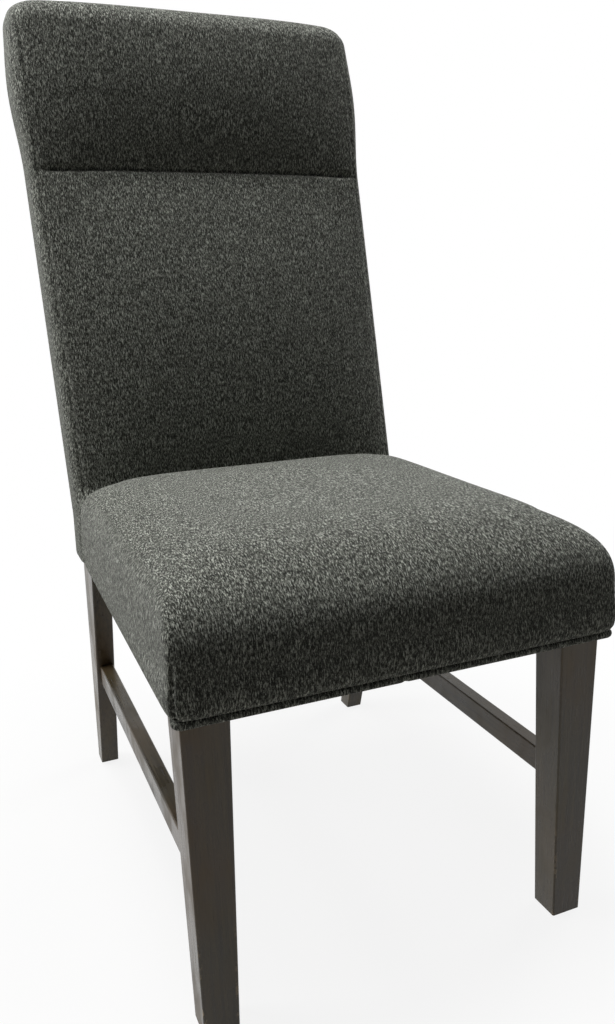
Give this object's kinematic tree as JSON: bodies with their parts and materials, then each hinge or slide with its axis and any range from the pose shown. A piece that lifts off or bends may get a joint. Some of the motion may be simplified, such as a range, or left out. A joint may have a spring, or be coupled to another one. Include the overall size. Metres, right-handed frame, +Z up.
{
  "type": "upholstered dining chair",
  "caption": "Dining chair with a crowned upholstered seat, a tall raked back with a head pillow, tapered dark wood legs and side stretchers.",
  "frame": {"origin": "on the floor, below the middle of the chair's overall box", "axes": "+Z up, -Y towards the chair's front, +X to the right of a viewer who faces its front"},
  "size_m": [0.4712, 0.6955, 1.038],
  "materials": {
    "stained_wood": "dark stain, satin lacquer",
    "frame_wood": "bare sawn hardwood",
    "dowel_wood": "bare beech",
    "board": "plain board",
    "zinc_steel": "zinc plated",
    "glide_plastic": "moulded",
    "webbing": "woven elastic",
    "foam": "open-cell foam",
    "wadding": "polyester fibre",
    "tweed": "heathered charcoal weave",
    "dust_cloth": "non-woven black cloth"
  },
  "bodies": {
    "root": {"back_cover": "tweed", "back_crest_rail": "frame_wood", "back_edge_wadding_left": "wadding", "back_edge_wadding_right": "wadding", "back_foam": "foam", "back_lower_rail": "frame_wood", "back_middle_rail": "frame_wood", "back_panel": "board", "back_rail_dowels": "dowel_wood", "back_side_panel_left": "tweed", "back_side_panel_right": "tweed", "corner_block_front_left": "frame_wood", "corner_block_front_right": "frame_wood", "corner_block_rear_left": "frame_wood", "corner_block_rear_right": "frame_wood", "corner_block_screws": "zinc_steel", "dust_cover": "dust_cloth", "foot_glides": "glide_plastic", "front_leg_left": "stained_wood", "front_leg_right": "stained_wood", "headrest_cover": "tweed", "headrest_foam": "foam", "leg_bolt_nuts": "zinc_steel", "leg_bolt_washers": "zinc_steel", "leg_bolts": "zinc_steel", "outer_back_board": "board", "outer_back_cover": "tweed", "outer_back_wadding": "wadding", "rear_leg_left": "stained_wood", "rear_leg_right": "stained_wood", "seat_cover": "tweed", "seat_foam": "foam", "seat_front_rail": "frame_wood", "seat_rail_dowels": "dowel_wood", "seat_rear_rail": "frame_wood", "seat_side_rail_left": "frame_wood", "seat_side_rail_right": "frame_wood", "seat_wadding": "wadding", "seat_webbing_crosswise": "webbing", "seat_webbing_lengthwise": "webbing", "seat_welt": "tweed", "side_stretcher_left": "stained_wood", "side_stretcher_right": "stained_wood"}
  },
  "joints": []
}
